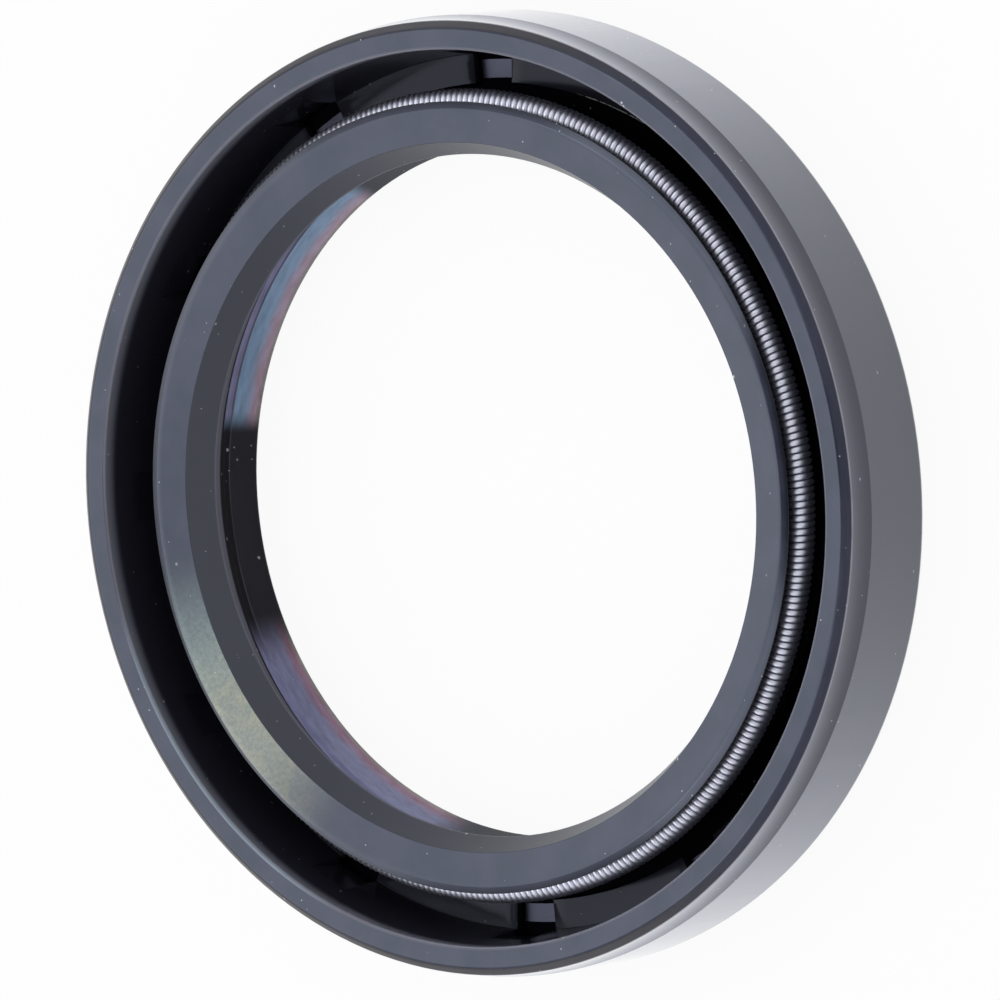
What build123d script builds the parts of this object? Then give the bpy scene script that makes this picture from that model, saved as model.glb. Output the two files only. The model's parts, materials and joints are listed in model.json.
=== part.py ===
from build123d import *
import os
from math import cos, radians, sin, tan

# Radial shaft seal, 45 x 62 x 8: a rubber-covered seal with a garter spring and a dust lip.
# Millimetres. The shaft axis is Z, the back (air side) face lies on Z = 0 and the spring side
# faces +Z. A section is drawn as (radius, height) corners and revolved about the axis.

# ---- what the seal fits ----
shaft_diameter = 45.0
housing_diameter = 62.0
seal_width = 8.0

# ---- rubber skin over the steel case ----
outer_skin = 0.6
back_skin = 0.4
front_skin = 0.9
channel_skin = 0.15

# ---- steel case, a stamped ring of L section ----
sheet_thickness = 1.0
bend_radius = 0.6
flange_to_neck = 1.1

# ---- rim, the moulded wall that grips the housing ----
rim_width = 2.13
rim_edge_radius = 0.15
front_bevel = 0.45
lead_in_height = 2.2
lead_in_taper = 0.25
back_edge_radius = 0.28
lead_band_height = 1.05
wall_taper = 0.54

# ---- block ring on the floor of the channel, with the notches of the mould's locating pads ----
block_height = 0.55
pad_count = 12
pad_angle = 6.1
pad_relief = 0.34
bare_width = 1.2
bare_offset = 0.07

# ---- sealing lip ----
lip_interference = 0.5
lip_edge_depth = 2.88
lip_land = 0.2
oil_side_angle = 25.0
air_side_angle = 29.3
head_depth = 0.66
face_dish = 0.24
nose_overhang = 0.2
nose_width = 0.3
nose_drop = 0.115
nose_crown_radius = 1.0
neck_thickness = 0.75
neck_root_height = 0.65
neck_root_radius = 0.4
shoulder_cover = 0.4

# ---- garter spring and its groove ----
spring_height = 3.35
spring_offset = -0.5
coil_diameter = 1.86
seat_clearance = 0.05
seat_shoulder = 0.35
seat_mouth_angle = 40.0
seat_mouth_overlap = 0.1
spring_to_block = 0.1

# ---- dust lip ----
dust_lip_clearance = -0.03
dust_lip_inset = 0.05
dust_lip_land = 0.1
dust_flank_angle = 28.0
cavity_step = 0.2
dust_groove_width = 0.7
dust_groove_depth = 0.75
dust_groove_radius = 0.2

# ---- radii and heights worked out from the sizes above ----
shaft_radius = shaft_diameter / 2
housing_radius = housing_diameter / 2

case_outer = housing_radius - outer_skin
case_inner = case_outer - sheet_thickness
case_top = seal_width - front_skin
flange_top = back_skin + sheet_thickness
channel_floor = flange_top + channel_skin
block_top = channel_floor + block_height

rim_inner = housing_radius - rim_width
band_bottom = seal_width - lead_band_height
wall_foot_radius = rim_inner - wall_taper

lip_radius = shaft_radius - lip_interference
lip_edge_height = seal_width - lip_edge_depth
land_top = lip_edge_height + lip_land / 2
land_bottom = lip_edge_height - lip_land / 2
head_top = seal_width - head_depth
face_bottom = head_top - face_dish
face_inner = lip_radius + (face_bottom - land_top) * tan(radians(oil_side_angle))

spring_radius = lip_radius + spring_height
spring_level = lip_edge_height - spring_offset
coil_radius = coil_diameter / 2
seat_radius = coil_radius + seat_clearance
mouth_reach = seat_radius - seat_mouth_overlap
mouth_radius = spring_radius - mouth_reach * cos(radians(seat_mouth_angle))
mouth_level = spring_level + mouth_reach * sin(radians(seat_mouth_angle))
nose_radius = spring_radius + nose_overhang
nose_level = head_top - nose_drop
shoulder_radius = spring_radius - seat_shoulder
shoulder_bottom = spring_level - seat_radius - shoulder_cover
block_inner = spring_radius + coil_radius + spring_to_block

dust_tip_radius = shaft_radius + dust_lip_clearance
dust_tip_top = dust_lip_inset + dust_lip_land
air_slope = tan(radians(air_side_angle))
dust_slope = tan(radians(dust_flank_angle))
cavity_level = (lip_radius - dust_tip_radius + land_bottom * air_slope + dust_tip_top * dust_slope) / (
    air_slope + dust_slope
)
cavity_radius = lip_radius + (land_bottom - cavity_level) * air_slope
step_level = cavity_level - 2 * cavity_step
step_radius = dust_tip_radius + (step_level - dust_tip_top) * dust_slope
waist_radius = cavity_radius + neck_thickness
waist_level = channel_floor + neck_root_height
flange_inner = waist_radius + flange_to_neck
groove_bottom_radius = step_radius + dust_groove_width / 2
back_face_inner = groove_bottom_radius + dust_groove_width


def section(corners):
    """Close a section in the XZ plane through (radius, height, rounding) corners."""
    points = [(radius, height) for radius, height, rounding in corners]
    roundings = [rounding for radius, height, rounding in corners]
    return Plane.XZ * make_face(FilletPolyline(*points, radius=roundings, close=True))


def ring_piece(inner, outer, bottom, top, angle):
    """A piece of a flat ring, centred on +X, between two radial planes that far apart."""
    outline = section([(inner, bottom, 0), (outer, bottom, 0), (outer, top, 0), (inner, top, 0)])
    return Rot(0, 0, -angle / 2) * revolve(outline, Axis.Z, angle)


def steel_case():
    """The press-fit leg and the flange that stiffens the back, bent from one sheet."""
    corners = [
        (case_outer, case_top, 0),
        (case_inner, case_top, 0),
        (case_inner, flange_top, bend_radius),
        (flange_inner, flange_top, 0),
        (flange_inner, back_skin, 0),
        (case_outer, back_skin, bend_radius + sheet_thickness),
    ]
    return revolve(section(corners), Axis.Z)


def garter_spring():
    """The envelope of the close-wound coil spring, joined end to end in its groove."""
    return Pos(0, 0, spring_level) * Torus(spring_radius, coil_radius)


def rim():
    """The wall over the case's leg, from the housing fit in to the channel."""
    corners = [
        (housing_radius, 0, back_edge_radius),
        (housing_radius, seal_width - lead_in_height, 0),
        (housing_radius - lead_in_taper, seal_width - front_bevel, 0),
        (housing_radius - lead_in_taper - front_bevel, seal_width, 0),
        (rim_inner, seal_width, rim_edge_radius),
        (rim_inner, band_bottom, 0),
        (wall_foot_radius, block_top, 0),
        (wall_foot_radius, 0, 0),
    ]
    return section(corners)


def block_ring():
    """The raised ring on the channel floor, at the foot of the rim's wall."""
    corners = [
        (block_inner, flange_top, 0),
        (case_inner, flange_top, 0),
        (case_inner, block_top, 0),
        (block_inner, block_top, 0),
    ]
    return section(corners)


def lip():
    """The back web, the neck and head of the sealing lip, and the dust lip behind it."""
    web_and_neck = [
        (case_inner, 0, 0),
        (case_inner, channel_floor, 0),
        (waist_radius, channel_floor, neck_root_radius),
        (waist_radius, waist_level, 0),
    ]
    head = [
        (shoulder_radius, shoulder_bottom, 0),
        (shoulder_radius, spring_level, 0),
        (mouth_radius, mouth_level, 0),
        (nose_radius, nose_level, 0),
        (nose_radius - nose_width, head_top, nose_crown_radius),
        (face_inner, face_bottom, 0),
        (lip_radius, land_top, 0),
        (lip_radius, land_bottom, 0),
    ]
    dust_lip = [
        (cavity_radius, cavity_level, 0),
        (cavity_radius, cavity_level - cavity_step, 0),
        (step_radius, step_level, 0),
        (dust_tip_radius, dust_tip_top, 0),
        (dust_tip_radius, dust_lip_inset, 0),
        (groove_bottom_radius, dust_groove_depth, dust_groove_radius),
        (back_face_inner, 0, 0),
    ]
    return section(web_and_neck + head + dust_lip)


def spring_seat():
    """The round groove behind the head that holds the spring."""
    return Pos(0, 0, spring_level) * Torus(spring_radius, seat_radius)


def pad_notches():
    """Where the mould's pads held the case down: a notch in the block and a bare window."""
    pad_inner = block_inner - spring_to_block
    pad_outer = wall_foot_radius + pad_relief
    bare_inner = (block_inner + wall_foot_radius - bare_width) / 2 - bare_offset
    bare_outer = bare_inner + bare_width
    notch = ring_piece(pad_inner, pad_outer, channel_floor, band_bottom, pad_angle)
    window = ring_piece(bare_inner, bare_outer, flange_top, channel_floor, pad_angle)
    return [turned * (notch + window) for turned in PolarLocations(0, pad_count)]


def rubber_body(case):
    """The one-piece moulding, bonded face to face all round the case."""
    blank = revolve(rim() + block_ring() + lip(), Axis.Z)
    return blank - case - spring_seat() - pad_notches()


case = steel_case()
nodes = {
    "rubber_body": rubber_body(case),
    "steel_case": case,
    "garter_spring": garter_spring(),
}

os.makedirs("parts", exist_ok=True)
for name, shape in nodes.items():
    export_step(shape, f"parts/{name}.step")
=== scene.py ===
import json
from math import atan2, cos, pi, radians, sin, sqrt, tan

import bmesh
import bpy
from mathutils import Matrix, Vector


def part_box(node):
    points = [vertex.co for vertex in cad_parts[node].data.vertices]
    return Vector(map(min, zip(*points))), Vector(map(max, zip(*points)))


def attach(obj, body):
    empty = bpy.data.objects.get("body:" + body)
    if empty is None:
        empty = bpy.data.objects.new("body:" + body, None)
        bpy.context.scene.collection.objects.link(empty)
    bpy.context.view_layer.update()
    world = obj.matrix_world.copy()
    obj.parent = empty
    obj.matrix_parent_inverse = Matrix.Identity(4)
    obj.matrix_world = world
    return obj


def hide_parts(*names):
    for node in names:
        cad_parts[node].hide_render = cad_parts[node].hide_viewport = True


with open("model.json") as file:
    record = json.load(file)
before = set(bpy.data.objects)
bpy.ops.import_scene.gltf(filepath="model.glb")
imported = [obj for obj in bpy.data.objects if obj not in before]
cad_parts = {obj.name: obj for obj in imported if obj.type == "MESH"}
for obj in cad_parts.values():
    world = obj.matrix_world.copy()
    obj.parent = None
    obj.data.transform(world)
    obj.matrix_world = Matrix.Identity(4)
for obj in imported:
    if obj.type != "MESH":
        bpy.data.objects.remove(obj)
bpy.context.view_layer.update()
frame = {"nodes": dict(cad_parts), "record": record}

# Radial shaft seal: the looks. The rubber moulding is turned here as one fine mesh round the CAD
# case, and the garter spring is wound turn by turn; the steel case is the CAD solid itself.
# Sizes are in millimetres unless a name says otherwise, angles in degrees.
MM = 0.001

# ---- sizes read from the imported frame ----
_, rubber_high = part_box("rubber_body")
case_low, case_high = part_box("steel_case")
spring_low, spring_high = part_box("garter_spring")
mounts = {mount["name"]: mount for mount in frame["record"]["mounts"]}

housing_radius = rubber_high.x / MM
seal_width = rubber_high.z / MM
case_outer = case_high.x / MM
case_top = case_high.z / MM
back_skin = case_low.z / MM
coil_radius = (spring_high.z - spring_low.z) / 2 / MM
spring_level = (spring_high.z + spring_low.z) / 2 / MM
spring_radius = spring_high.x / MM - coil_radius
lip_radius = mounts["shaft_lip"]["dims"]["r_mm"]
lip_edge_height = mounts["shaft_lip"]["pos_m"][2] / MM

# ---- steel case ----
sheet_thickness = 1.0
bend_radius = 0.6
flange_to_neck = 1.1
channel_skin = 0.15
case_inner = case_outer - sheet_thickness
flange_top = back_skin + sheet_thickness
channel_floor = flange_top + channel_skin

# ---- rim ----
rim_width = 2.13
rim_edge_radius = 0.2
front_bevel = 0.45
front_edge_radius = 0.5
lead_in_height = 2.2
lead_in_taper = 0.25
lead_in_hollow = 0.95
back_edge_radius = 0.42
lead_band_height = 1.05
wall_taper = 0.54
rim_inner = housing_radius - rim_width
bevel_outer = housing_radius - lead_in_taper
bevel_inner = bevel_outer - front_bevel
lead_in_foot = seal_width - lead_in_height
lead_in_head = seal_width - front_bevel
band_bottom = seal_width - lead_band_height
wall_foot_radius = rim_inner - wall_taper

# ---- block ring, notches and bare windows ----
block_height = 0.55
spring_to_block = 0.1
block_top = channel_floor + block_height
block_inner = spring_radius + coil_radius + spring_to_block
pad_count = 12
pad_angle = 6.1
pad_relief = 0.34
bare_width = 1.2
bare_offset = 0.07
pad_outer = wall_foot_radius + pad_relief
bare_inner = (block_inner + wall_foot_radius - bare_width) / 2 - bare_offset
bare_outer = bare_inner + bare_width

# ---- sealing lip and spring groove ----
lip_land = 0.2
oil_side_angle = 25.0
air_side_angle = 29.3
head_depth = 0.66
face_dish = 0.24
nose_overhang = 0.2
nose_width = 0.62
nose_drop = 0.14
nose_crown_radius = 1.0
neck_thickness = 0.75
neck_root_height = 0.65
neck_root_radius = 0.4
shoulder_cover = 0.4
seat_clearance = 0.05
seat_radius = coil_radius + seat_clearance
seat_shoulder = 0.35
seat_mouth_angle = radians(40.0)
seat_mouth_overlap = 0.1
land_top = lip_edge_height + lip_land / 2
land_bottom = lip_edge_height - lip_land / 2
head_top = seal_width - head_depth
face_bottom = head_top - face_dish
face_inner = lip_radius + (face_bottom - land_top) * tan(radians(oil_side_angle))
nose_radius = spring_radius + nose_overhang
nose_level = head_top - nose_drop
mouth_reach = seat_radius - seat_mouth_overlap
mouth_radius = spring_radius - mouth_reach * cos(seat_mouth_angle)
mouth_level = spring_level + mouth_reach * sin(seat_mouth_angle)
shoulder_radius = spring_radius - seat_shoulder
shoulder_bottom = spring_level - seat_radius - shoulder_cover

# ---- dust lip ----
dust_tip_radius = 22.47
dust_lip_inset = 0.05
dust_tip_top = 0.15
dust_flank_angle = 28.0
cavity_step = 0.2
dust_groove_width = 0.7
dust_groove_depth = 0.75
dust_groove_radius = 0.2
air_slope = tan(radians(air_side_angle))
dust_slope = tan(radians(dust_flank_angle))
cavity_level = (lip_radius - dust_tip_radius + land_bottom * air_slope + dust_tip_top * dust_slope) / (
    air_slope + dust_slope
)
cavity_radius = lip_radius + (land_bottom - cavity_level) * air_slope
step_level = cavity_level - 2 * cavity_step
step_radius = dust_tip_radius + (step_level - dust_tip_top) * dust_slope
waist_radius = cavity_radius + neck_thickness
waist_level = channel_floor + neck_root_height
flange_inner = waist_radius + flange_to_neck
flank_width = step_radius - dust_tip_radius
groove_bottom_radius = step_radius + dust_groove_width / 2
back_face_inner = groove_bottom_radius + dust_groove_width

# ---- edges of the moulding, too small for the CAD solid ----
moulded_edge = 0.07
fine_edge = 0.035
sharp_edge = 0.02
edge_guard = 0.02
round_from = 0.15
round_steps = 8
fine_steps = 2
seat_steps = 14
lead_in_steps = 8
weld_distance = 0.0001

# ---- columns of the moulding's mesh: (degrees past the notch's edge, depth) across its side ----
notch_side = ((-0.14, 1.0), (-0.07, 0.975), (-0.02, 0.88), (0.02, 0.12), (0.07, 0.025), (0.14, 0.0))
notch_middle = 1.0
plain_steps = 11

# ---- garter spring ----
turn_count = 370
wire_radius = 0.206
samples_per_turn = 22
wire_sides = 8
wire_clearance = 0.01

# ---- photograph's viewpoint ----
camera_azimuth = -24.04
camera_elevation = 52.8215
camera_distance = 1285.89
camera_roll = 97.665
camera_aim = Vector((0.011, -0.444, 4.0))
camera_lens = 720.0
camera_sensor = 36
camera_clip = (0.01, 100)

# ---- studio; lamps as (name, degrees from the camera's side, elevation, width in metres, radiance) ----
lamps = (
    ("key_softbox", 180, 47, 1.4, 1.72),
    ("upper_left", -135, 66, 0.7, 2.0),
    ("upper_right", 135, 66, 0.7, 2.0),
    ("left_fill", -118, 12, 1.1, 1.0),
    ("right_fill", 118, 12, 1.1, 1.0),
)
lamp_distance = 2.0
floor_reach = 4.0
floor_drop = 0.02
floor_glow = 0.93
floor_colour = (0.85, 0.85, 0.86, 1)
world_strength = 0.7
gap_strength = 0.15
gap_sideways = (0.18, 0.08)
gap_forward = (-0.45, -0.3)
gap_upward = (0.35, 0.6)

# ---- gloss of the rubber; a pair is (value at 0, value at 1) ----
rubber_index = 1.5
rubber_tint = (0.72, 0.80, 1.0, 1)
roughness_base = 0.08
roughness_streak = 0.08
roughness_matt = 0.22
specular_by_dullness = (0.5, 0.0)
rough_dullness = 0.3
channel_dullness = 0.7
coat_weight = 0.95
coat_roughness = 0.05
bump_strength = 0.2
bump_depth = 0.006

# ---- colours: linear red, green and blue, and alpha; a pair runs from the mask's 0 to its 1 ----
plain_shades = ((0.019, 0.022, 0.038, 1), (0.034, 0.036, 0.057, 1))
fit_colour = (0.026, 0.027, 0.044, 1)
# lead-in colours: painted shading, dark at its foot and pale at its head
lead_in_painted_shading = ((0.013, 0.013, 0.025, 1), (0.041, 0.041, 0.066, 1))
# pale sheen colours: a grazing reflection painted into the base colour
painted_sheen_shades = ((0.47, 0.525, 0.68, 1), (0.53, 0.535, 0.68, 1))
# near-black colour for painted shadow on the nose and in the channel's pits
painted_shadow_black = (0.004, 0.004, 0.006, 1)
torn_blue_shades = ((0.018, 0.020, 0.034, 1), (0.045, 0.048, 0.072, 1))
torn_brown_shades = ((0.020, 0.017, 0.018, 1), (0.050, 0.043, 0.044, 1))
# painted highlight along the bevel's outer edge
bevel_highlight_colour = (0.36, 0.37, 0.40, 1)
# oil side: painted shading, darker on the camera's side and paler on the far side
cone_painted_shading = ((0.034, 0.036, 0.050, 1), (0.076, 0.079, 0.097, 1))
# painted shade: the whole channel darker
channel_shade_colour = (0.016, 0.016, 0.024, 1)
# painted light on the top of the channel's outer wall
wall_top_light_colour = (0.19, 0.19, 0.23, 1)
flank_colour = (0.033, 0.031, 0.036, 1)
undercut_colour = (0.03, 0.028, 0.033, 1)
# painted grazing reflection on the back of the sealing edge
lip_back_reflection_colour = (0.155, 0.158, 0.19, 1)
# real oil film on the dust lip, painted as its iridescent reflection, with the tip, ledge and crease
upper_film_reflection_shades = ((0.59, 0.42, 0.53, 1), (0.31, 0.46, 0.67, 1))
lower_film_reflection_shades = ((0.50, 0.28, 0.37, 1), (0.33, 0.34, 0.54, 1))
dust_tip_reflection_colour = (0.42, 0.38, 0.37, 1)
ledge_reflection_colour = (0.33, 0.33, 0.52, 1)
crease_reflection_colour = (0.15, 0.15, 0.21, 1)
# painted highlight on the rim's inner edge
edge_highlight_colour = (0.22, 0.26, 0.31, 1)
# pale frayed line along the block's inner edge, over one stretch of the ring
block_edge_pale_colour = (0.40, 0.43, 0.41, 1)
# painted highlight on the lip's face, yellowish in patches and greenish at its lower end
yellow_highlight_shades = ((0.32, 0.35, 0.28, 1), (0.385, 0.395, 0.275, 1))
green_highlight = (0.235, 0.31, 0.275, 1)
dust_colour = (0.5, 0.52, 0.55, 1)
sheet_shades = ((0.055, 0.058, 0.085, 1), (0.095, 0.10, 0.14, 1))
sheet_roughness = (0.38, 0.55)
wire_shades = ((0.64, 0.65, 0.75, 1), (0.72, 0.74, 0.84, 1))
wire_roughness = (0.36, 0.43)

# ---- how strongly a look covers the rubber; a pair is (where its texture is 0, where it is 1) ----
nose_shadow_cover = 0.75
wall_top_light_cover = 0.9
bevel_highlight_cover = (0.3, 1.0)
film_reflection_cover = (0.45, 1.3)
edge_highlight_cover = (0.4, 1.1)
face_highlight_cover = (0.5, 0.95)
dust_cover = (1.0, 0.3)

# ---- where a look lies round the seal: degrees from the camera's side, as (from, to, fade) ----
low_film_span = (-156, -120, 10)
high_film_span = (118, 160.5, 4)
edge_highlight_span = (-160, -132, 14)
face_highlight_span = (-157, -146, 22)
block_edge_pale_span = (48, 67, 3)

# ---- where one look turns into another, as (still the first, all the second) ----
torn_brown_from = (45, 75)
cone_shading_from = (90, 170)
face_highlight_yellow_from = (-166, -150)
upper_film_from = (-1, 1)
painted_sheen_from = (0.3, 1.15)
cloud_from = (0.3, 0.7)
fray_from = (0.3, 0.55)
mottle_from = (0.3, 0.7)
patch_from = (0.4, 0.65)
upper_film_blue_from = (0.15, 0.65)
lower_film_blue_from = (0.1, 0.55)
dust_tip_from = (0.14, 0.04)

# ---- noise as (scale, detail, roughness), per millimetre ----
cloud_noise = (0.3, 3.0)
streak_noise = (0.5, 3.0, 0.6)
tear_noise = (1.2, 3.0)
gloss_noise = (0.8, 3.0, 0.6)
grain_noise = (7.0, 4.0, 0.6)
fray_noise = (4.0,)
mottle_noise = (3.6, 6.0, 0.85)
patch_noise = (0.7, 2.0)
speck_noise = (5.0,)
rolling_noise = (1.5, 4.0, 0.6)
oil_noise = (1.2, 2.0)

# ---- how noise is stretched, how far it moves an edge, and how a speck fades ----
streak_squeeze = 6.0
rolling_squeeze = 14.0
tear_depth = 0.2
film_wander = 0.5
speck_wander = 0.25
speck_fade = 0.8
speck_core = 0.4

# ---- dust as (cells per millimetre, radius of a speck, share of the cells that hold one) ----
coarse_dust = (1.5, 0.12, 0.04)
fine_dust = (2.0, 0.06, 0.08)

# ---- fades of the masks on the rubber, in millimetres ----
hair = 0.02
crisp = 0.03
soft = 0.05
broad = 0.1
wide = 0.2

# ---- heights and radii that only the masks use ----
tear_inner = bevel_inner - 0.15
tear_outer = bevel_inner + 0.12
bevel_line_inner = bevel_outer - 0.04
bevel_line_outer = bevel_outer + 0.005
bevel_line_fade = 0.015
nose_shade = 0.3
riser_top = block_top + 0.4
flank_top = cavity_level + 0.5
lip_back_foot = cavity_level + 1.0
lip_back_head = cavity_level + 1.6


# ------------------------------------------------------------------ outlines
def fillet(before, corner, after, radius):
    """Points of an arc that rounds the corner; it shrinks to a short run where the path is straight."""
    if radius == 0:
        return [Vector(corner)]
    incoming = (Vector(before) - Vector(corner)).normalized()
    outgoing = (Vector(after) - Vector(corner)).normalized()
    half_turn = incoming.angle(-outgoing) / 2
    setback = max(radius * tan(half_turn), edge_guard / 2)
    start = Vector(corner) + incoming * setback
    end = Vector(corner) + outgoing * setback
    steps = round_steps if radius >= round_from else fine_steps
    points = []
    for step in range(steps + 1):
        t = step / steps
        weights = ((1 - t) ** 2, 2 * t * (1 - t) * cos(half_turn), t**2)
        mixed = start * weights[0] + Vector(corner) * weights[1] + end * weights[2]
        points.append(mixed / sum(weights))
    return points


def outline(corners):
    """A closed outline through (radius, height, rounding) corners, with guard points beside each arc."""
    arcs = []
    for index, (radius, height, rounding) in enumerate(corners):
        before = corners[index - 1][:2]
        after = corners[(index + 1) % len(corners)][:2]
        arcs.append(fillet(before, (radius, height), after, rounding))
    points = []
    for index, arc in enumerate(arcs):
        following = arcs[(index + 1) % len(arcs)]
        run = following[0] - arc[-1]
        guard = run.normalized() * min(edge_guard, run.length / 4)
        points += arc
        points += [arc[-1] + guard, following[0] - guard]
    return points


def seat_arc():
    """The spring's round groove, from the shoulder below it up to the ramp under the nose."""
    centre = Vector((spring_radius, spring_level))
    mouth = Vector((mouth_radius, mouth_level))
    ramp = (Vector((nose_radius, nose_level)) - mouth).normalized()
    along = (mouth - centre).dot(ramp)
    meeting = mouth + ramp * (sqrt(seat_radius**2 - mouth_reach**2 + along**2) - along) - centre
    start = atan2(-sqrt(seat_radius**2 - seat_shoulder**2), -seat_shoulder) + 2 * pi
    end = atan2(meeting.y, meeting.x)
    points = []
    for step in range(seat_steps + 1):
        angle = start + (end - start) * step / seat_steps
        rounding = moulded_edge if step in (0, seat_steps) else fine_edge
        radius = spring_radius + seat_radius * cos(angle)
        points.append((radius, spring_level + seat_radius * sin(angle), rounding))
    return points


def lead_in_corners():
    """The slightly hollow lead-in, steepest towards the axis where it leaves the housing fit."""
    points = []
    for step in range(lead_in_steps + 1):
        share = step / lead_in_steps
        drop = lead_in_taper * share * (1 + lead_in_hollow * (1 - share))
        rounding = moulded_edge if step in (0, lead_in_steps) else fine_edge
        height = lead_in_foot + (lead_in_head - lead_in_foot) * share
        points.append((housing_radius - drop, height, rounding))
    return points


def channel_corners(notched):
    """Wall foot, block ring and channel floor, either between the notches or inside one."""
    wall_at_pad = block_top + (pad_outer - wall_foot_radius) / wall_taper * (band_bottom - block_top)
    wall_break = (pad_outer, wall_at_pad, fine_edge)
    if notched:
        return [
            wall_break,
            (pad_outer, block_top, fine_edge),
            (pad_outer, channel_floor, fine_edge),
            (bare_outer, channel_floor, fine_edge),
            (bare_outer, flange_top, 0),
            (bare_inner, flange_top, 0),
            (bare_inner, channel_floor, fine_edge),
            (block_inner + 3 * moulded_edge, channel_floor, fine_edge),
            (block_inner, channel_floor, fine_edge),
        ]
    return [
        wall_break,
        (wall_foot_radius, block_top + pad_relief, fine_edge),
        (wall_foot_radius, block_top, fine_edge),
        (bare_outer + fine_edge, block_top, fine_edge),
        (bare_outer - fine_edge, block_top, 0),
        (bare_inner + fine_edge, block_top, 0),
        (bare_inner - fine_edge, block_top, fine_edge),
        (block_inner, block_top, fine_edge),
        (block_inner, channel_floor, fine_edge),
    ]


def skin_corners(notched):
    """The moulding's outside, from the back edge up the housing fit, round the channel and the lip."""
    rim = [
        (bevel_inner, seal_width, front_edge_radius),
        (rim_inner, seal_width, rim_edge_radius),
        (rim_inner, band_bottom, moulded_edge),
    ]
    neck = [
        (waist_radius, channel_floor, neck_root_radius),
        (waist_radius, waist_level, fine_edge),
        (shoulder_radius, shoulder_bottom, fine_edge),
    ]
    head = [
        (nose_radius, nose_level, fine_edge),
        (nose_radius - nose_width, head_top, nose_crown_radius),
        (face_inner, face_bottom, fine_edge),
        (lip_radius, land_top, sharp_edge),
        (lip_radius, land_bottom, sharp_edge),
    ]
    dust_lip = [
        (cavity_radius, cavity_level, fine_edge),
        (cavity_radius, cavity_level - cavity_step, fine_edge),
        (step_radius, step_level, fine_edge),
        (dust_tip_radius, dust_tip_top, sharp_edge),
        (dust_tip_radius, dust_lip_inset, sharp_edge),
        (groove_bottom_radius, dust_groove_depth, dust_groove_radius),
        (back_face_inner, 0, fine_edge),
    ]
    back_edge = [(housing_radius, 0, back_edge_radius)]
    outer = back_edge + lead_in_corners() + rim
    return outer + channel_corners(notched) + neck + seat_arc() + head + dust_lip


def case_corners():
    """The cavity that the steel case fills, walked the other way round than the outside."""
    return [
        (case_outer, case_top, sharp_edge),
        (case_outer, back_skin, bend_radius + sheet_thickness),
        (flange_inner, back_skin, sharp_edge),
        (flange_inner, flange_top, sharp_edge),
        (bare_inner, flange_top, 0),
        (bare_outer, flange_top, 0),
        (case_inner, flange_top, bend_radius),
        (case_inner, case_top, sharp_edge),
    ]


# ------------------------------------------------------------------ meshes
def mesh_object(name, vertices, faces):
    """A smooth-shaded mesh object in the frame's own coordinates; vertices are in millimetres."""
    mesh = bpy.data.meshes.new(name)
    mesh.from_pydata([Vector(vertex) * MM for vertex in vertices], [], faces)
    mesh.shade_smooth()
    piece = bpy.data.objects.new(name, mesh)
    bpy.context.scene.collection.objects.link(piece)
    return piece


def notch_columns():
    """(angle, depth) of each column of the mesh; depth runs from 0 on the block to 1 in a notch."""
    half = pad_angle / 2
    spacing = 360 / pad_count
    columns = []
    for pad in range(pad_count):
        centre = pad * spacing
        columns += [(centre - half - offset, depth) for offset, depth in reversed(notch_side)]
        columns += [(centre - notch_middle, 1.0), (centre + notch_middle, 1.0)]
        columns += [(centre + half + offset, depth) for offset, depth in notch_side]
        start = half + notch_side[-1][0]
        gap = spacing - 2 * start
        columns += [(centre + start + gap * step / plain_steps, 0.0) for step in range(1, plain_steps)]
    return columns


def corner_index(points, radius, height):
    """Where a sharp corner sits in an outline."""
    distances = [(point - Vector((radius, height))).length for point in points]
    return distances.index(min(distances))


def weld(mesh):
    """Join the outside to the cavity round each window and drop the points left over."""
    work = bmesh.new()
    work.from_mesh(mesh)
    bmesh.ops.remove_doubles(work, verts=work.verts, dist=weld_distance * MM)
    loose = [vertex for vertex in work.verts if not vertex.link_faces]
    bmesh.ops.delete(work, geom=loose, context="VERTS")
    work.to_mesh(mesh)
    work.free()


def wall_faces(columns, loops, size, skipped):
    """Quads between neighbouring columns, left out over the window where both columns are bare."""
    faces = []
    for column in range(len(columns)):
        following = (column + 1) % len(columns)
        bare = columns[column][1] == 1 and columns[following][1] == 1
        here = column * size
        there = following * size
        for loop in loops:
            for index in loop:
                if bare and index in skipped:
                    continue
                above = loop[(index - loop[0] + 1) % len(loop)]
                faces.append((here + index, there + index, there + above, here + above))
    return faces


def rubber_moulding():
    """The one-piece rubber body: its outside, the cavity for the case, and the windows between them."""
    plain = outline(skin_corners(False))
    notched = outline(skin_corners(True))
    cavity = outline(case_corners())
    columns = notch_columns()
    vertices = []
    for angle, depth in columns:
        turn = radians(angle)
        ring = [low.lerp(high, depth) for low, high in zip(plain, notched)] + cavity
        vertices += [(p.x * cos(turn), p.x * sin(turn), p.y) for p in ring]
    size = len(plain) + len(cavity)
    loops = [range(len(plain)), range(len(plain), size)]
    window = range(
        corner_index(notched, bare_outer, flange_top),
        corner_index(notched, bare_inner, flange_top),
    )
    covered = range(
        len(plain) + corner_index(cavity, bare_inner, flange_top),
        len(plain) + corner_index(cavity, bare_outer, flange_top),
    )
    faces = wall_faces(columns, loops, size, {*window, *covered})
    piece = mesh_object("rubber_moulding", vertices, faces)
    weld(piece.data)
    return piece


def ring_direction(angle):
    """The outward direction at that angle about the axis, in radians."""
    return Vector((cos(angle), sin(angle), 0))


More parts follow.
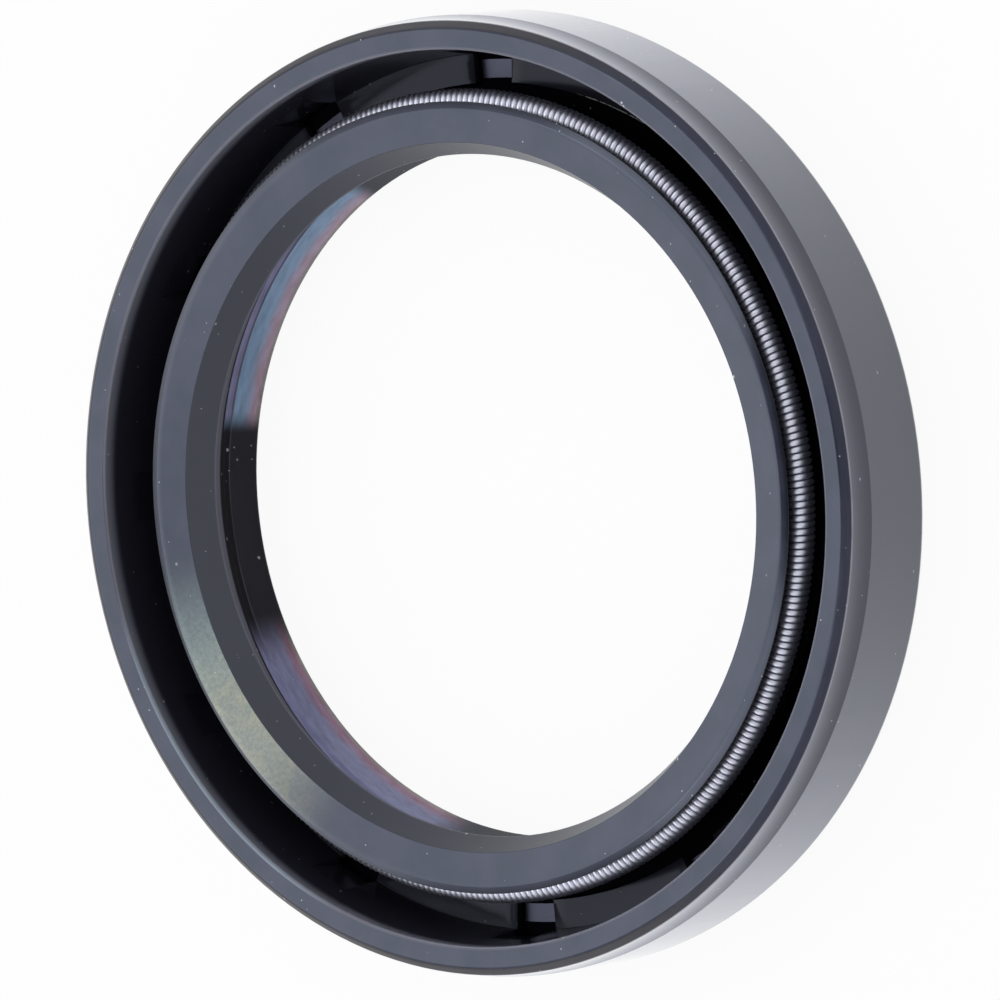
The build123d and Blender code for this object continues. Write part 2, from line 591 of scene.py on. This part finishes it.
def spring_coil():
    """The close-wound garter spring, wound as one wire round the lip."""
    pitch_radius = coil_radius - wire_radius - wire_clearance
    vertices = []
    faces = []
    count = turn_count * samples_per_turn
    for sample in range(count):
        around = 2 * pi * sample / count
        winding = -turn_count * around
        outward = ring_direction(around)
        arm = outward * cos(winding) + Vector((0, 0, sin(winding)))
        side = arm.cross(Vector((-sin(around), cos(around), 0))).normalized()
        along = side.cross(arm)
        centre = outward * spring_radius + Vector((0, 0, spring_level)) + arm * pitch_radius
        for corner in range(wire_sides):
            turn = 2 * pi * corner / wire_sides
            vertices.append(centre + (arm * cos(turn) + along * sin(turn)) * wire_radius)
    for sample in range(count):
        here = sample * wire_sides
        there = (sample + 1) % count * wire_sides
        for corner in range(wire_sides):
            above = (corner + 1) % wire_sides
            faces.append((here + corner, here + above, there + above, there + corner))
    return mesh_object("spring_coil", vertices, faces)


# ------------------------------------------------------------------ materials
class Graph:
    """Short names for the nodes of one material or world."""

    def __init__(self, owner):
        owner.use_nodes = True
        self.owner = owner
        self.tree = owner.node_tree
        self.shader, self.output = [self.kind(kind) for kind in ("Principled BSDF|Background", "Output")]

    def kind(self, names):
        """The node that is there from the start and has one of these words in its name."""
        words = names.split("|")
        return [node for node in self.tree.nodes if any(word in node.name for word in words)][0]

    def add(self, kind, **settings):
        """A new node of that kind, with these settings."""
        node = self.tree.nodes.new("ShaderNode" + kind)
        for name, value in settings.items():
            setattr(node, name, value)
        return node

    def put(self, socket, value):
        """Link an output to the socket, or set the socket to a plain value."""
        if hasattr(value, "links"):
            self.tree.links.new(value, socket)
        else:
            socket.default_value = value

    def set(self, **values):
        """Set the shader's sockets; an underscore stands for a space."""
        for name, value in values.items():
            self.put(self.shader.inputs[name.replace("_", " ")], value)

    def math(self, operation, *values):
        """The result of one math node."""
        node = self.add("Math", operation=operation)
        for socket, value in zip(node.inputs, values):
            self.put(socket, value)
        return node.outputs[0]

    def product(self, *values):
        """All the values multiplied; for masks, where all of them overlap."""
        result = values[0]
        for value in values[1:]:
            result = self.math("MULTIPLY", result, value)
        return result

    def union(self, *masks):
        """The largest of the masks at each place."""
        result = masks[0]
        for mask in masks[1:]:
            result = self.math("MAXIMUM", result, mask)
        return result

    def step(self, value, low, high):
        """0 below low, 1 above high, smooth between; low may lie above high."""
        flipped = low > high
        node = self.add("MapRange", interpolation_type="SMOOTHSTEP")
        numbers = (value, min(low, high), max(low, high), float(flipped), float(not flipped))
        for socket, number in zip(node.inputs, numbers):
            self.put(socket, number)
        return node.outputs[0]

    def between(self, value, low, high, edge):
        """1 from low to high, falling to 0 over that edge outside them."""
        return self.product(self.step(value, low - edge, low), self.step(value, high + edge, high))

    def ramp(self, value, start, end):
        """From start to end as the value runs from 0 to 1."""
        return self.math("MULTIPLY_ADD", value, end - start, start)

    def mix(self, factor, first, second):
        """The first colour where the factor is 0, the second where it is 1."""
        node = self.add("Mix", data_type="RGBA")
        self.put(node.inputs["Factor"], factor)
        colours = [socket for socket in node.inputs if socket.type == "RGBA"]
        self.put(colours[0], first)
        self.put(colours[1], second)
        return [socket for socket in node.outputs if socket.type == "RGBA"][0]

    def scaled(self, vector, *factors):
        """The vector with each of its parts multiplied by its own factor."""
        node = self.add("VectorMath", operation="MULTIPLY")
        self.put(node.inputs[0], vector)
        node.inputs[1].default_value = factors
        return node.outputs[0]

    def offset(self, vector, amount, factor):
        """The vector with amount times factor added to each of its parts."""
        node = self.add("VectorMath", operation="ADD")
        self.put(node.inputs[0], vector)
        self.put(node.inputs[1], self.product(amount, factor))
        return node.outputs[0]

    def vector(self, *parts):
        """A vector put together from three values."""
        node = self.add("CombineXYZ")
        for socket, part in zip(node.inputs, parts):
            self.put(socket, part)
        return node.outputs[0]

    def dot(self, vector, direction):
        """How far the vector reaches along a fixed direction."""
        node = self.add("VectorMath", operation="DOT_PRODUCT")
        self.put(node.inputs[0], vector)
        node.inputs[1].default_value = direction
        return node.outputs["Value"]

    def seen(self, kinds):
        """1 for rays of these kinds, 0 for all others."""
        path = self.add("LightPath")
        return self.union(*[path.outputs[f"Is {kind} Ray"] for kind in kinds])

    def millimetres(self):
        """The place on the piece, in millimetres."""
        return self.scaled(self.add("TexCoord").outputs["Object"], 1 / MM, 1 / MM, 1 / MM)

    def noise(self, vector, scale, detail=2.0, roughness=0.5):
        """Smooth noise between 0 and 1."""
        node = self.add("TexNoise")
        self.put(node.inputs["Vector"], vector)
        node.inputs["Scale"].default_value = scale
        node.inputs["Detail"].default_value = detail
        node.inputs["Roughness"].default_value = roughness
        return node.outputs[0]

    def specks(self, vector, scale, radius, share):
        """Small spots of that radius, in the vector's units, in that share of the cells."""
        node = self.add("TexVoronoi")
        self.put(node.inputs["Vector"], vector)
        node.inputs["Scale"].default_value = scale
        parts = self.add("SeparateColor")
        self.put(parts.inputs[0], node.outputs["Color"])
        chosen = self.step(parts.outputs[0], share, share * speck_fade)
        near = self.step(node.outputs["Distance"], radius * scale, radius * scale * speck_core)
        return self.product(chosen, near)

    def polar(self, place):
        """Radius, angle from the camera's side in degrees, and height of a place in millimetres."""
        turned = self.add("VectorRotate", rotation_type="Z_AXIS")
        self.put(turned.inputs["Vector"], place)
        turned.inputs["Angle"].default_value = radians(-camera_azimuth)
        parts = self.add("SeparateXYZ")
        self.put(parts.inputs[0], turned.outputs[0])
        length = self.add("VectorMath", operation="LENGTH")
        self.put(length.inputs[0], self.scaled(place, 1, 1, 0))
        angle = self.math("ARCTAN2", parts.outputs[1], parts.outputs[0])
        return length.outputs["Value"], self.math("DEGREES", angle), parts.outputs[2]


class RubberPlaces:
    """Where on the moulding a point lies, as masks from 0 to 1 by its radius, angle and height."""

    def __init__(self, graph):
        self.graph = graph
        self.place = graph.millimetres()
        self.radius, self.angle, self.height = graph.polar(self.place)
        self.turned = graph.math("ABSOLUTE", self.angle)
        self.along = graph.vector(
            graph.product(self.angle, radians(1) * housing_radius),
            graph.product(self.radius, streak_squeeze),
            graph.product(self.height, streak_squeeze),
        )
        self.find_rim()
        self.find_channel()
        self.find_lip()
        self.find_bore()
        self.find_traces()

    def near(self, inner, outer, fade):
        """1 between two radii."""
        return self.graph.between(self.radius, inner, outer, fade)

    def at_height(self, low, high, fade):
        """1 between two heights."""
        return self.graph.between(self.height, low, high, fade)

    def by_radius(self, first, second):
        """From 0 at the first radius to 1 at the second, whichever of them is larger."""
        return self.graph.step(self.radius, first, second)

    def by_height(self, first, second):
        """From 0 at the first height to 1 at the second, whichever of them is larger."""
        return self.graph.step(self.height, first, second)

    def round_seal(self, span):
        """1 over one stretch of the ring."""
        return self.graph.between(self.angle, *span)

    def find_rim(self):
        """Side, lead-in, torn bevel, a painted highlight at its outer edge, the wall's top in painted
        light.
        """
        graph = self.graph
        self.side = self.by_radius(bevel_outer - soft, bevel_outer)
        self.lead_in = self.by_height(lead_in_foot, lead_in_foot + crisp)
        self.lead_share = self.by_height(lead_in_foot, lead_in_head)
        centred = graph.math("ADD", self.radius, -tear_depth / 2)
        ragged = graph.math("MULTIPLY_ADD", graph.noise(self.along, *tear_noise), tear_depth, centred)
        self.bevel = graph.product(
            self.by_height(lead_in_head - soft, lead_in_head),
            graph.step(ragged, tear_inner, tear_outer),
            self.by_radius(bevel_outer + hair, bevel_outer - hair / 2),
        )
        self.bevel_highlight = graph.product(
            self.near(bevel_line_inner, bevel_line_outer, bevel_line_fade),
            self.by_height(lead_in_head - soft - crisp, lead_in_head - soft),
        )
        # the wall's top, where light is painted
        wall = self.near(wall_foot_radius, rim_inner + 2 * hair, wide)
        self.lit_wall_top = graph.product(wall, self.by_height(band_bottom - soft - wide, seal_width - wide))

    def find_channel(self):
        """The channel as a whole; its low floor, the notches' pits and their risers painted black as
        shadow.
        """
        graph = self.graph
        inside = self.near(waist_radius - wide, rim_inner + crisp, crisp)
        self.channel = graph.product(inside, self.by_height(face_bottom + broad, face_bottom - wide))
        floor = self.by_height(channel_floor + wide, channel_floor + broad)
        riser = graph.product(
            self.by_radius(wall_foot_radius + hair, wall_foot_radius + 3 * hair),
            self.by_height(riser_top, riser_top - broad),
        )
        self.pit_shadow = graph.product(inside, graph.union(floor, riser))

    def find_lip(self):
        """The nose over the spring with painted shade, the flat face, and the oil side to the sealing
        edge.
        """
        graph = self.graph
        nose = self.near(nose_radius - broad, nose_radius + hair, nose_shade)
        self.nose = graph.product(nose, self.by_height(mouth_level, nose_level))
        face = self.near(face_inner + crisp, nose_radius - nose_shade, crisp)
        self.lip_face = graph.product(face, self.by_height(face_bottom - soft, face_bottom))
        inward = self.by_radius(face_inner + hair, face_inner - hair)
        self.cone = graph.product(inward, self.by_height(land_top - hair, land_top))

    def find_bore(self):
        """The air side of the lip with its painted reflection, the dust lip's flank, and the oil film's
        painted reflection.
        """
        graph = self.graph
        bore = self.by_radius(cavity_radius + broad, cavity_radius + soft)
        self.undercut = graph.product(bore, self.at_height(step_level + soft, land_top - soft, soft))
        self.lip_back_reflection = graph.product(self.undercut, self.by_height(lip_back_foot, lip_back_head))
        flank = self.near(dust_tip_radius, cavity_radius + soft, crisp)
        self.dust_flank = graph.product(flank, self.by_height(flank_top + soft, flank_top))
        high_side = self.round_seal(high_film_span)
        self.film = graph.union(self.round_seal(low_film_span), high_side)
        on_ledge = self.by_height(step_level - 2 * hair, step_level + hair)
        self.ledge = graph.product(bore, high_side, on_ledge)
        in_crease = self.at_height(step_level, step_level + 3 * hair, crisp)
        self.crease = graph.product(bore, high_side, in_crease)
        past_tip = graph.math("SUBTRACT", self.radius, dust_tip_radius)
        self.flank_share = graph.math("DIVIDE", past_tip, flank_width)

    def find_traces(self):
        """The painted highlights on the face and the rim's inner edge, and a pale frayed line on the
        block.
        """
        graph = self.graph
        self.face_highlight = graph.product(self.lip_face, self.round_seal(face_highlight_span))
        inner_edge = graph.product(
            self.near(rim_inner - hair, rim_inner + rim_edge_radius, soft + crisp),
            self.by_height(seal_width - wide - broad, seal_width - broad - soft),
        )
        self.edge_highlight = graph.product(inner_edge, self.round_seal(edge_highlight_span))
        self.block_edge_pale = graph.product(
            self.near(block_inner, block_inner + soft, crisp),
            self.round_seal(block_edge_pale_span),
            self.at_height(block_top - soft - crisp, block_top + soft, soft),
        )


def moulded_colour(graph, at):
    """Black with a blue cast; painted shading on the lead-in, a pale painted sheen at low angles,
    painted shade on the nose.
    """
    cloud = graph.step(graph.noise(at.place, *cloud_noise), *cloud_from)
    facing = graph.add("LayerWeight").outputs["Facing"]
    # painted sheen: paler where the outside is seen at a low angle
    sheen = graph.product(at.side, graph.step(facing, *painted_sheen_from))
    # painted shading: the lead-in darkens towards its foot
    side = graph.mix(at.lead_in, fit_colour, graph.mix(at.lead_share, *lead_in_painted_shading))
    colour = graph.mix(at.side, graph.mix(cloud, *plain_shades), side)
    colour = graph.mix(sheen, colour, graph.mix(cloud, *painted_sheen_shades))
    # painted shadow over the nose, darker towards its tip
    return graph.mix(graph.product(at.nose, nose_shadow_cover), colour, painted_shadow_black)


def rim_and_channel_colour(graph, at, streak, colour):
    """Torn bevel, painted highlight, oil side's painted shading, channel's painted shade, wall top's
    painted light.
    """
    torn_blue = graph.mix(streak, *torn_blue_shades)
    torn_brown = graph.mix(streak, *torn_brown_shades)
    torn = graph.mix(graph.step(at.turned, *torn_brown_from), torn_blue, torn_brown)
    colour = graph.mix(at.bevel, colour, torn)
    # painted highlight line at the bevel's outer edge
    line = graph.product(at.bevel_highlight, graph.ramp(streak, *bevel_highlight_cover))
    colour = graph.mix(line, colour, bevel_highlight_colour)
    # painted shading on the oil side, paler away from the camera
    cone = graph.mix(graph.step(at.turned, *cone_shading_from), *cone_painted_shading)
    colour = graph.mix(at.cone, colour, cone)
    # painted shade over the whole channel
    colour = graph.mix(at.channel, colour, channel_shade_colour)
    # painted shadow in the pits, on the risers and on the low floor
    colour = graph.mix(at.pit_shadow, colour, painted_shadow_black)
    # painted light: the wall's top paler, fading down into the channel
    return graph.mix(graph.product(at.lit_wall_top, wall_top_light_cover), colour, wall_top_light_colour)


def painted_film_reflection(graph, at, streak):
    """Oil film on the dust lip's flank, its reflection painted: pink at its edge, blue further in, a
    violet ledge.
    """
    across = graph.math("SUBTRACT", at.flank_share, film_wander / 2)
    across = graph.math("MULTIPLY_ADD", streak, film_wander, across)
    upper = graph.mix(graph.step(across, *upper_film_blue_from), *upper_film_reflection_shades)
    lower = graph.mix(graph.step(across, *lower_film_blue_from), *lower_film_reflection_shades)
    film = graph.mix(graph.step(at.angle, *upper_film_from), lower, upper)
    film = graph.mix(graph.step(at.flank_share, *dust_tip_from), film, dust_tip_reflection_colour)
    film = graph.mix(at.ledge, film, ledge_reflection_colour)
    return graph.mix(at.crease, film, crease_reflection_colour)


def bore_colour(graph, at, streak, colour):
    """The dark air side with the oil film's painted reflection, and the sealing edge's back painted
    paler as reflection.
    """
    film = painted_film_reflection(graph, at, streak)
    colour = graph.mix(at.dust_flank, colour, flank_colour)
    colour = graph.mix(at.undercut, colour, undercut_colour)
    # the oil film's iridescent reflection, painted over the flank
    film_reflection = graph.product(at.dust_flank, at.film, graph.ramp(streak, *film_reflection_cover))
    colour = graph.mix(film_reflection, colour, film)
    # painted reflection: the back of the sealing edge paler
    return graph.mix(at.lip_back_reflection, colour, lip_back_reflection_colour)


def face_highlight_colour(graph, at):
    """Painted highlight on the lip's face: greenish at its lower end, yellowish in patches over the
    rest.
    """
    patch = graph.step(graph.noise(at.place, *patch_noise), *patch_from)
    yellow = graph.mix(patch, *yellow_highlight_shades)
    return graph.mix(graph.step(at.angle, *face_highlight_yellow_from), green_highlight, yellow)


def traces_colour(graph, at, streak, colour):
    """Painted highlights on the rim's edge and the lip's face, a pale frayed line on the block, and dust
    all over.
    """
    # painted highlight on the rim's inner edge, over one stretch of the ring
    edge_highlight = graph.product(at.edge_highlight, graph.ramp(streak, *edge_highlight_cover))
    colour = graph.mix(edge_highlight, colour, edge_highlight_colour)
    # a pale frayed line on the block's inner edge
    frayed = graph.step(graph.noise(at.place, *fray_noise), *fray_from)
    colour = graph.mix(graph.product(at.block_edge_pale, frayed), colour, block_edge_pale_colour)
    # painted highlight on the lip's face, mottled
    mottle = graph.step(graph.noise(at.place, *mottle_noise), *mottle_from)
    face_highlight = graph.product(at.face_highlight, graph.ramp(mottle, *face_highlight_cover))
    colour = graph.mix(face_highlight, colour, face_highlight_colour(graph, at))
    ragged = graph.offset(at.place, graph.noise(at.place, *speck_noise), speck_wander)
    dust = graph.union(graph.specks(ragged, *coarse_dust), graph.specks(at.place, *fine_dust))
    return graph.mix(graph.product(dust, graph.ramp(at.channel, *dust_cover)), colour, dust_colour)


def rubber_colour(graph, at):
    """The rubber's own colour, with what lies on it laid over it in turn."""
    streak = graph.noise(at.along, *streak_noise)
    colour = moulded_colour(graph, at)
    colour = rim_and_channel_colour(graph, at, streak, colour)
    colour = bore_colour(graph, at, streak, colour)
    return traces_colour(graph, at, streak, colour)


def grain_bump(graph, at):
    """The fine grain of the mould."""
    bump = graph.add("Bump")
    bump.inputs["Strength"].default_value = bump_strength
    bump.inputs["Distance"].default_value = bump_depth * MM
    graph.put(bump.inputs["Height"], graph.noise(at.place, *grain_noise))
    return bump.outputs[0]


def rubber_material():
    """Black nitrile rubber as moulded: satin flats, a glossier outside, a dull channel with painted
    shade.
    """
    graph = Graph(bpy.data.materials.new("nitrile_rubber"))
    at = RubberPlaces(graph)
    rough = graph.union(at.bevel, at.cone)
    dull = graph.union(
        graph.product(rough, rough_dullness),
        graph.product(at.channel, channel_dullness),
        at.pit_shadow,
        at.undercut,
    )
    gloss = graph.noise(at.along, *gloss_noise)
    streaked = graph.math("MULTIPLY_ADD", gloss, roughness_streak, roughness_base)
    graph.set(
        Base_Color=rubber_colour(graph, at),
        Roughness=graph.math("ADD", streaked, graph.product(rough, roughness_matt)),
        IOR=rubber_index,
        Specular_IOR_Level=graph.ramp(dull, *specular_by_dullness),
        Specular_Tint=rubber_tint,
        Coat_Weight=graph.product(at.side, coat_weight),
        Coat_Roughness=coat_roughness,
        Coat_IOR=rubber_index,
        Normal=grain_bump(graph, at),
    )
    return graph.owner


def case_material():
    """Dark phosphated sheet, with fine rolling lines."""
    graph = Graph(bpy.data.materials.new("case_sheet_steel"))
    stretched = graph.scaled(graph.millimetres(), 1.0, rolling_squeeze, 1.0)
    lines = graph.noise(stretched, *rolling_noise)
    graph.set(
        Base_Color=graph.mix(lines, *sheet_shades),
        Roughness=graph.ramp(lines, *sheet_roughness),
        Metallic=1.0,
    )
    return graph.owner


def spring_material():
    """Drawn spring wire, satin under a thin film of oil."""
    graph = Graph(bpy.data.materials.new("spring_wire"))
    film = graph.noise(graph.millimetres(), *oil_noise)
    graph.set(
        Base_Color=graph.mix(film, *wire_shades),
        Roughness=graph.ramp(film, *wire_roughness),
        Metallic=1.0,
    )
    return graph.owner


def floor_material():
    """A pale floor that the camera and reflections see as white, and that still takes a shadow."""
    graph = Graph(bpy.data.materials.new("pale_floor"))
    graph.set(Base_Color=floor_colour, Roughness=1.0, Specular_IOR_Level=0.0)
    glow = graph.add("Emission")
    mix = graph.add("MixShader")
    graph.put(mix.inputs[0], graph.product(seen_directly(graph), floor_glow))
    graph.put(mix.inputs[1], graph.shader.outputs[0])
    graph.put(mix.inputs[2], glow.outputs[0])
    graph.put(graph.output.inputs["Surface"], mix.outputs[0])
    return graph.owner


def seen_directly(graph):
    """1 for the camera's own rays and for those that a gloss or a clear surface passes on."""
    return graph.seen(("Camera", "Glossy", "Transmission"))


def grey(level):
    """A neutral colour."""
    return (level, level, level, 1)


# ------------------------------------------------------------------ stage
def toward(angle_from_camera, elevation):
    """A direction given by its angle about the axis from the camera's side, and its elevation."""
    turn = radians(camera_azimuth + angle_from_camera)
    lift = radians(elevation)
    return Vector((cos(turn) * cos(lift), sin(turn) * cos(lift), sin(lift)))


def make_camera():
    """The photograph's view: looking down on the seal, rolled so that it seems to stand."""
    back = toward(0, camera_elevation)
    level_right = Vector((0, 0, 1)).cross(back).normalized()
    level_up = back.cross(level_right)
    roll = radians(camera_roll)
    up = level_up * cos(roll) + level_right * sin(roll)
    right = up.cross(back)
    data = bpy.data.cameras.new("photo_camera")
    data.lens = camera_lens
    data.sensor_width = camera_sensor
    data.clip_start, data.clip_end = camera_clip
    camera = bpy.data.objects.new("photo_camera", data)
    turned = Matrix((right, up, back)).transposed().to_4x4()
    camera.matrix_world = Matrix.Translation((camera_aim + back * camera_distance) * MM) @ turned
    bpy.context.scene.collection.objects.link(camera)
    bpy.context.scene.camera = camera


def area_light(name, angle_from_camera, elevation, width, radiance):
    """A soft square lamp that looks at the seal and that no camera sees; its width is in metres."""
    direction = toward(angle_from_camera, elevation)
    data = bpy.data.lights.new(name, "AREA")
    data.shape = "RECTANGLE"
    data.size = width
    data.size_y = width
    data.energy = radiance * pi * width * width
    lamp = bpy.data.objects.new(name, data)
    lamp.location = direction * lamp_distance
    lamp.rotation_euler = direction.to_track_quat("Z", "Y").to_euler()
    lamp.visible_camera = False
    bpy.context.scene.collection.objects.link(lamp)


def make_floor():
    """A wide floor, a hair below the seal so that the two never share a plane."""
    size = floor_reach / MM
    level = -floor_drop
    corners = [(-size, -size, level), (size, -size, level), (size, size, level), (-size, size, level)]
    floor = mesh_object("floor", corners, [(0, 1, 2, 3)])
    floor.data.materials.append(floor_material())


def make_world():
    """Even white light with a dim gap above the camera, and a white horizon for the camera."""
    world = bpy.data.worlds.new("studio")
    bpy.context.scene.world = world
    graph = Graph(world)
    direction = graph.add("TexCoord").outputs["Generated"]
    sideways = graph.math("ABSOLUTE", graph.dot(direction, toward(90, 0)))
    gap = graph.product(
        graph.step(sideways, *gap_sideways),
        graph.step(graph.dot(direction, toward(0, 0)), *gap_forward),
        graph.step(graph.dot(direction, (0, 0, 1)), *gap_upward),
    )
    light = graph.mix(seen_directly(graph), grey(world_strength), grey(1.0))
    dimmed = graph.mix(gap, light, grey(gap_strength))
    graph.put(graph.shader.inputs["Color"], graph.mix(graph.seen(("Camera",)), dimmed, grey(1.0)))


def dress(piece, node, material):
    """Give a piece its material, hang it under the root body, and hide the CAD solid it stands in for.
    """
    piece.data.materials.append(material)
    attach(piece, "root")
    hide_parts(node)


dress(rubber_moulding(), "rubber_body", rubber_material())
dress(spring_coil(), "garter_spring", spring_material())
for slot in frame["nodes"]["steel_case"].material_slots:
    slot.material = case_material()

bpy.context.scene.view_settings.view_transform = "Standard"
make_floor()
make_world()
for lamp in lamps:
    area_light(*lamp)
make_camera()
